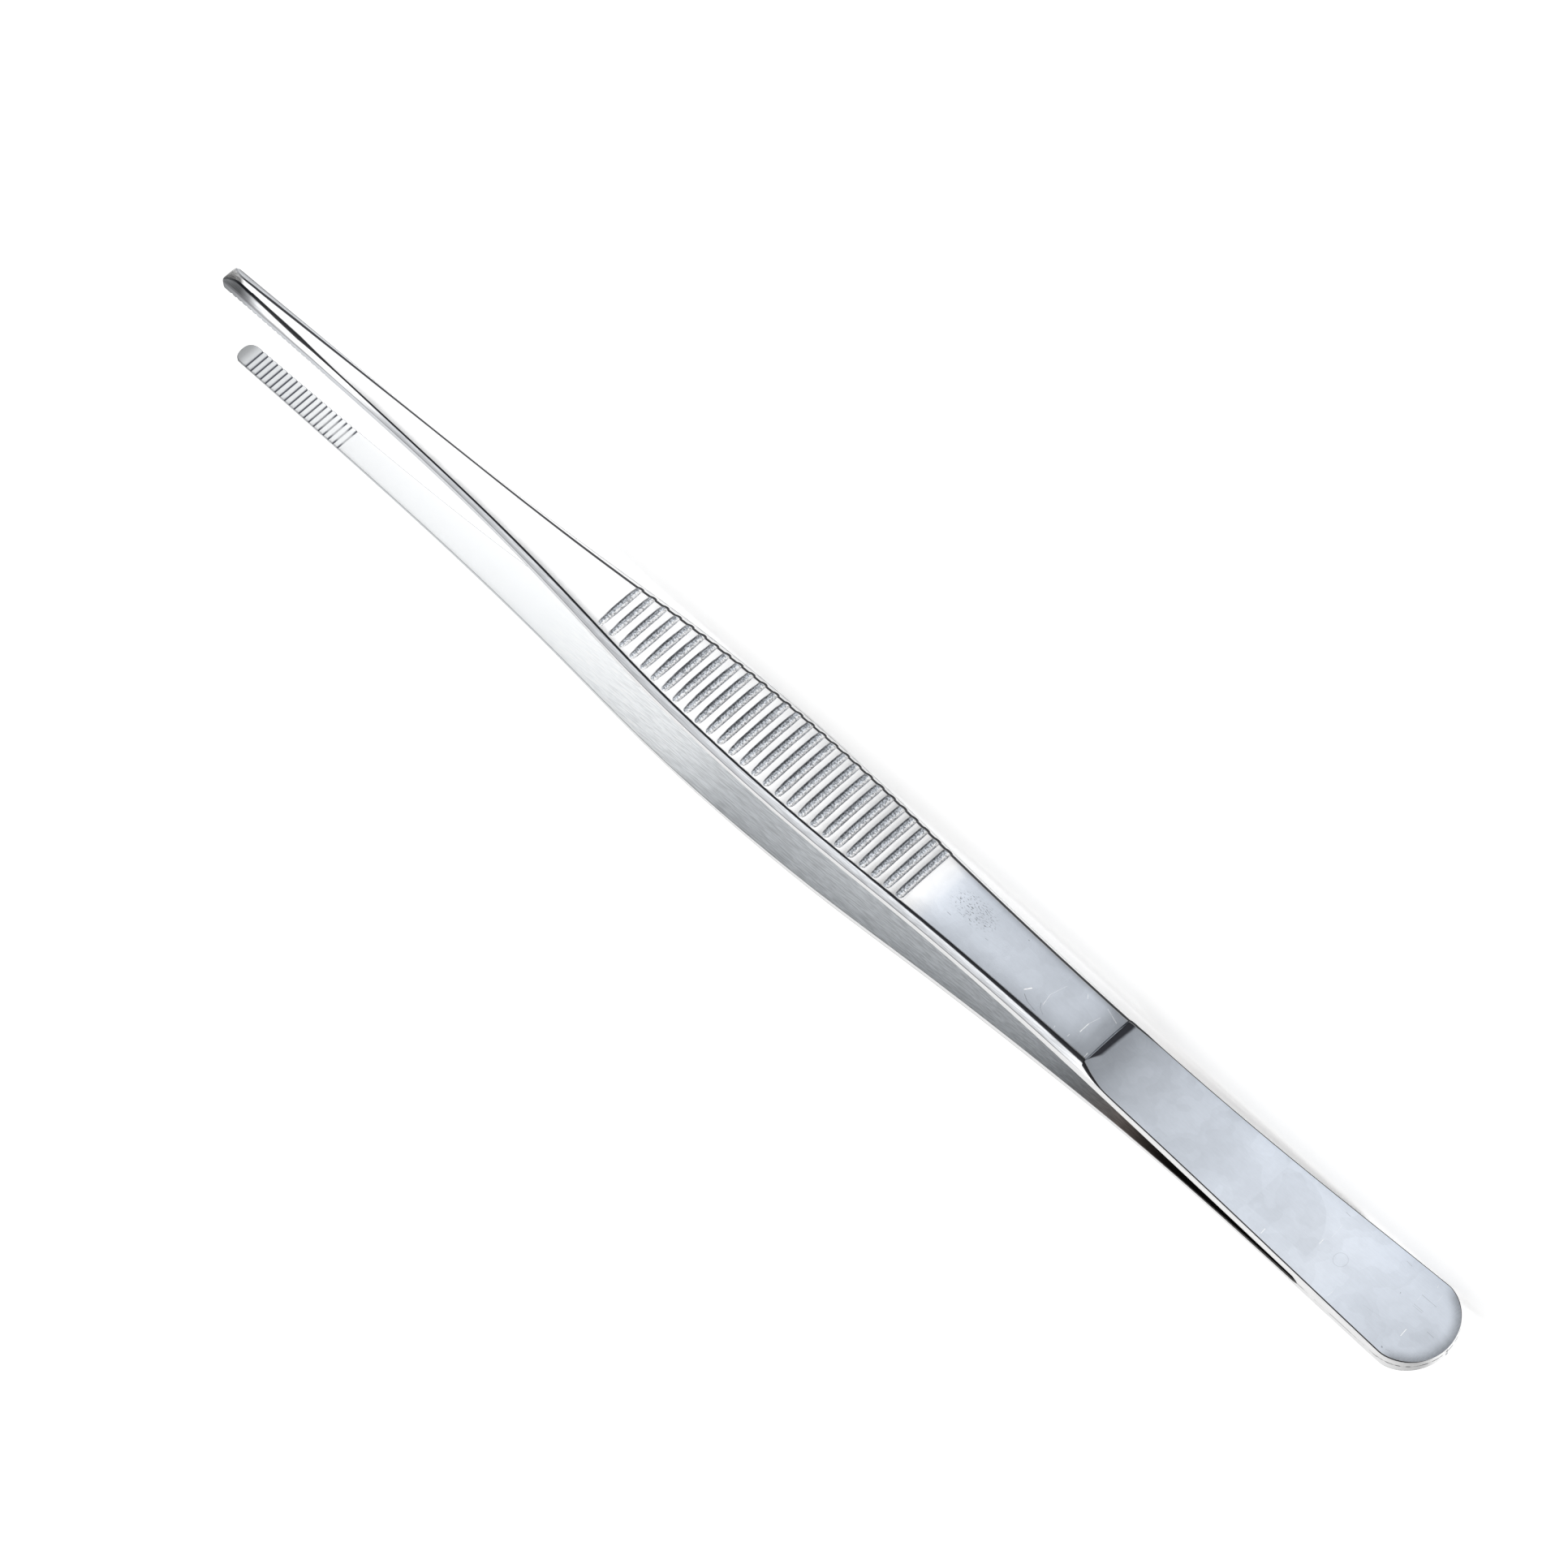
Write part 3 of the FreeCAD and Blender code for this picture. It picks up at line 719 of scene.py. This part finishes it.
def sides_of(n, mm, x, facet, near, streak, brushed):
    """Sides: a brushed upper facet and a bright lower facet, both toned with painted light and
    shade, and the parting line.
    """
    upper = n.mix(near, n.ramp(x, UPPER_FAR_PAINTED_LIGHT, 0.4), n.ramp(x, UPPER_PAINTED_LIGHT, 0.4))
    # Painted light and shade across the upper facet from the step on: lighter by the rim, darker
    # toward the parting line
    across = n.span(facet, 0.0, 1.0, 1.28, 0.8)
    upper = n.times(upper, n.blend(n.span(x, 56.0, 60.0), 1.0, across))
    upper = n.times(upper, brushed)
    lower = n.times(n.ramp(x, LOWER_PAINTED_LIGHT, 0.4), n.span(streak, 0.3, 0.7, 0.94, 1.02))
    sides = n.mix(n.span(facet, 0.97, 1.03), upper, lower)
    off_line = n.math("ABSOLUTE", n.math("SUBTRACT", facet, 1.0))
    width = n.blend(n.span(x, 178.0, 190.0), 0.14, 0.3)
    line = n.fade(n.math("DIVIDE", off_line, width), 1.0, 0.4)
    line = n.math("MULTIPLY", line, n.span(x, 50.0, 60.0, 0.0, 0.7))
    # The weld's seam, a thin line that comes and goes, clearest round the butt
    broken = n.span(n.noise(n.scaled(mm, (0.45, 1.0, 0.0)), 1.0, 2.0, 0.6), 0.42, 0.56)
    seam = n.math("MULTIPLY", n.span(facet, 1.86, 1.97), n.math("LESS_THAN", x, WELD_LENGTH))
    seam = n.math("MULTIPLY", seam, n.math("MULTIPLY", broken, n.fade(x, 9.0, 4.0, 0.5, 0.9)))
    return n.mix(n.math("MAXIMUM", line, seam), sides, (0.14, 0.14, 0.15, 1))


def inner_face(n, x, y, notch, brushed):
    """Inner face: brushed, with painted shade darkening it to brown-black in the crevice by the
    weld and painted light toward the tips.
    """
    warm = n.mix(n.span(x, 44.0, 58.0), (1.12, 1.0, 0.93, 1), (0.985, 1.0, 1.01, 1))
    within = n.product(n.ramp(x, INNER_PAINTED_LIGHT, 0.15), warm)
    within = n.times(within, n.blend(n.span(x, 150.0, 120.0), 1.0, brushed))
    # Each notch is painted as a dark line of shade, the ones nearest the grip fainter in the middle
    middle = n.fade(n.math("ABSOLUTE", y), 1.3, 0.5)
    faint = n.math("MULTIPLY", n.fade(x, 189.0, 182.0), middle)
    deep = n.math("SUBTRACT", 0.96, n.math("MULTIPLY", faint, 0.5))
    line = n.span(notch, 0.1, 0.85)
    return n.mix(n.math("MULTIPLY", line, deep), within, (0.06, 0.065, 0.085, 1))


def steel_material(name, marked):
    """Forged steel: polished faces, brushed sides and blasted grooves, toned with painted light and
    shade, and painted dark reflections along the rims.
    """
    material = bpy.data.materials.new(name)
    material.use_nodes = True
    tree = material.node_tree
    tree.nodes.clear()
    n = Nodes(tree)
    shader = n.add("ShaderNodeBsdfPrincipled")
    out = n.add("ShaderNodeOutputMaterial")
    tree.links.new(shader.outputs[0], out.inputs[0])
    shader.inputs["Metallic"].default_value = 1.0

    mm = n.attribute("arm_mm", "Vector")
    split = n.add("ShaderNodeSeparateXYZ")
    n.put(split.inputs[0], mm)
    x, y = split.outputs[0], split.outputs[1]
    outer = n.attribute("on_outer")
    rim = n.attribute("on_rim")
    inner = n.attribute("on_inner")
    edge = n.attribute("on_edge")
    groove = n.attribute("groove")
    near = n.span(y, -0.2, 0.2)
    streak = n.noise(n.scaled(mm, (0.3, 8.0, 8.0)), 1.0, 2.0, 0.65)
    brushed = n.span(streak, 0.3, 0.7, 0.8, 1.12)
    grit = n.noise(mm, 4.4, 2.0, 0.75)

    face = outer_face(n, mm, x, y, marked)
    face = grooved(n, x, y, groove, face, grit)
    # Nose: brushed round the tip, darkest at its near corner, with a pointed edge to the white face
    tongue = n.math("MULTIPLY", n.math("ABSOLUTE", n.math("ADD", y, 0.45)), 1.2)
    at = n.math("ADD", x, n.math("ADD", tongue, n.math("MULTIPLY", streak, 0.8)))
    nose = n.span(at, 197.9, 198.7)
    nose_tone = n.blend(n.span(y, -1.1, 0.8), 0.42, 0.09)
    nose_tone = n.math("MULTIPLY", nose_tone, n.span(streak, 0.3, 0.7, 0.5, 1.5))
    nose_colour = n.times((1.0, 1.0, 1.0, 1.0), nose_tone)
    face = n.mix(nose, face, nose_colour)
    sides = sides_of(n, mm, x, n.attribute("facet"), near, streak, brushed)
    within = inner_face(n, x, y, n.attribute("notch"), brushed)

    colour = n.mix(outer, sides, face)
    # The edge of the gap takes the inner face's tone. Along the weld it is a faint broken seam.
    seam = n.span(n.noise(mm, 1.2, 2.0, 0.6), 0.4, 0.6, 0.05, 0.45)
    on_edge = n.math("MULTIPLY", edge, n.blend(n.span(x, 17.2, 18.2), seam, 0.95))
    colour = n.mix(n.math("MAXIMUM", inner, on_edge), colour, within)
    # Painted shade darkens the edges of the gap between the arms, from about 40 mm on
    gap_edge_shade = n.math("MULTIPLY", edge, n.span(x, 40.0, 50.0, 0.0, 0.62))
    colour = n.mix(gap_edge_shade, colour, (0.08, 0.08, 0.09, 1))
    # Painted dark reflections along the rims, lighter at the nose and gone at the very butt
    dark_rim_reflection = n.math("MULTIPLY", rim, n.span(x, 199.3, 197.0, 0.4, 0.96))
    dark_rim_reflection = n.math("MULTIPLY", dark_rim_reflection, n.span(x, 0.1, 0.8))
    colour = n.mix(dark_rim_reflection, colour, (0.012, 0.013, 0.017, 1))
    n.put(shader.inputs["Base Color"], colour)

    rough = n.blend(n.span(x, 58.0, 84.0), 0.28, 0.16)
    rough = n.blend(outer, 0.4, rough)
    rough = n.blend(groove, rough, 0.42)
    n.put(shader.inputs["Roughness"], rough)

    bump = n.add("ShaderNodeBump")
    bump.inputs["Strength"].default_value = 0.6
    bump.inputs["Distance"].default_value = 0.00004
    n.put(bump.inputs["Height"], n.math("MULTIPLY", grit, groove))
    n.put(shader.inputs["Normal"], bump.outputs[0])
    return material


def floor_material():
    material = bpy.data.materials.new("studio_floor")
    material.use_nodes = True
    tree = material.node_tree
    tree.nodes.clear()
    n = Nodes(tree)
    out = n.add("ShaderNodeOutputMaterial")
    diffuse = n.add("ShaderNodeBsdfDiffuse")
    diffuse.inputs["Color"].default_value = (0.9, 0.9, 0.9, 1)
    glow = n.add("ShaderNodeEmission")
    rays = n.add("ShaderNodeLightPath")
    seen = n.math("MAXIMUM", rays.outputs["Is Camera Ray"], rays.outputs["Is Glossy Ray"])
    seen = n.math("MAXIMUM", seen, rays.outputs["Is Transmission Ray"])
    n.put(glow.inputs["Strength"], n.math("MULTIPLY", seen, 0.44))
    both = n.add("ShaderNodeAddShader")
    tree.links.new(diffuse.outputs[0], both.inputs[0])
    tree.links.new(glow.outputs[0], both.inputs[1])
    tree.links.new(both.outputs[0], out.inputs[0])
    return material


def studio():
    """Pale floor and a soft sky: bright overhead and beyond the tips, dark behind the butt."""
    size = 3.0
    mesh = bpy.data.meshes.new("floor")
    corners = [(-size, -size, 0), (size, -size, 0), (size, size, 0), (-size, size, 0)]
    mesh.from_pydata(corners, [], [(0, 1, 2, 3)])
    mesh.materials.append(floor_material())
    floor = bpy.data.objects.new("floor", mesh)
    bpy.context.scene.collection.objects.link(floor)

    world = bpy.data.worlds.new("studio")
    world.use_nodes = True
    bpy.context.scene.world = world
    tree = world.node_tree
    tree.nodes.clear()
    n = Nodes(tree)
    out = n.add("ShaderNodeOutputWorld")
    back = n.add("ShaderNodeBackground")
    tree.links.new(back.outputs[0], out.inputs[0])
    direction = n.add("ShaderNodeTexCoord").outputs["Generated"]
    split = n.add("ShaderNodeSeparateXYZ")
    n.put(split.inputs[0], direction)
    low = n.span(split.outputs[2], 0.20, 0.55, 0.2, 1.0)
    front = n.span(split.outputs[1], 0.1, -0.4)
    height = n.blend(front, 1.0, low)
    ahead = n.span(split.outputs[0], -0.8, 0.1, 0.4, 1.0)
    n.put(back.inputs["Strength"], n.math("MULTIPLY", height, ahead))

    lamp = bpy.data.lights.new("softbox", "AREA")
    lamp.shape = "RECTANGLE"
    lamp.size = 1.2
    lamp.size_y = 0.9
    lamp.energy = 3.0
    holder = bpy.data.objects.new("softbox", lamp)
    holder.location = (0.55, 0.15, 1.1)
    holder.rotation_mode = "QUATERNION"
    holder.rotation_quaternion = (-holder.location).to_track_quat("-Z", "Y")
    bpy.context.scene.collection.objects.link(holder)


def camera():
    data = bpy.data.cameras.new("camera")
    data.lens = CAMERA_LENS
    data.sensor_width = 36.0
    data.clip_start = 0.05
    data.clip_end = 20.0
    holder = bpy.data.objects.new("camera", data)
    holder.location = CAMERA_PLACE
    holder.rotation_mode = "QUATERNION"
    holder.rotation_quaternion = CAMERA_TURN
    bpy.context.scene.collection.objects.link(holder)
    bpy.context.scene.camera = holder


def dress():
    for node, mirror in (("right_arm", False), ("left_arm", True)):
        piece = arm_mesh(node + "_finished", mirror)
        piece.data.materials.append(steel_material(node + "_steel", not mirror))
        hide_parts(node)
        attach(piece, "root")


camera()
studio()
dress()
bpy.context.scene.view_settings.view_transform = "Standard"
